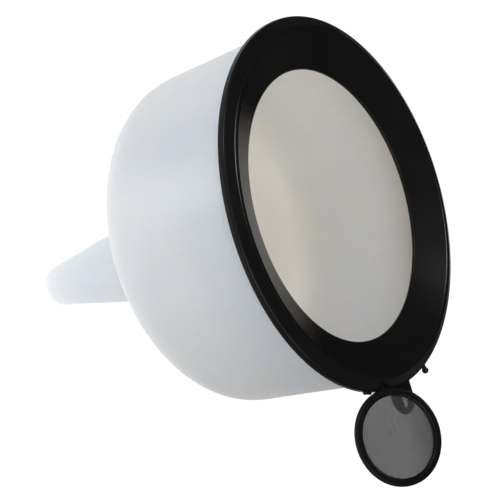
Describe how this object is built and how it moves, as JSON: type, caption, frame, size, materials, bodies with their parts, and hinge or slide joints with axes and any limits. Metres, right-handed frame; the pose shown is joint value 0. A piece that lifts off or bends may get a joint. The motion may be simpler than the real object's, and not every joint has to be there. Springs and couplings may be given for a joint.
{
  "type": "funnel",
  "caption": "Wide-mouth translucent workshop funnel with a tapered spout, a black push-on edge guard and a round gauze filter hooked to its hanging tab.",
  "frame": {"origin": "on the funnel's axis at the open end of the spout, where the spout enters the filler neck that holds it", "axes": "+Z along the funnel's axis, out of the wide mouth; +X towards the hanging tab"},
  "size_m": [0.2916, 0.235, 0.2464],
  "materials": {
    "milky_plastic": "translucent natural polyethylene, satin",
    "black_guard": "black moulded plastic, soft gloss",
    "black_frame": "black moulded plastic, soft gloss",
    "black_retainer": "black moulded plastic, satin",
    "gauze_wire": "fine woven wire gauze, see-through"
  },
  "bodies": {
    "bowl": {"bowl_and_spout": "milky_plastic"},
    "guard": {"edge_guard": "black_guard"},
    "filter": {"filter_frame": "black_frame", "filter_gauze": "gauze_wire", "filter_retainer": "black_retainer"}
  },
  "joints": [
    {"name": "guard_lift", "type": "slide", "parent": "bowl", "child": "guard", "axis": [0, 0, 1], "range_m": [0, 0.03]},
    {"name": "filter_swing", "type": "hinge", "parent": "guard", "child": "filter", "pos_m": [0.1224, 0, 0.2294], "axis": [0, 0, 1], "range_deg": [0, 95]}
  ]
}
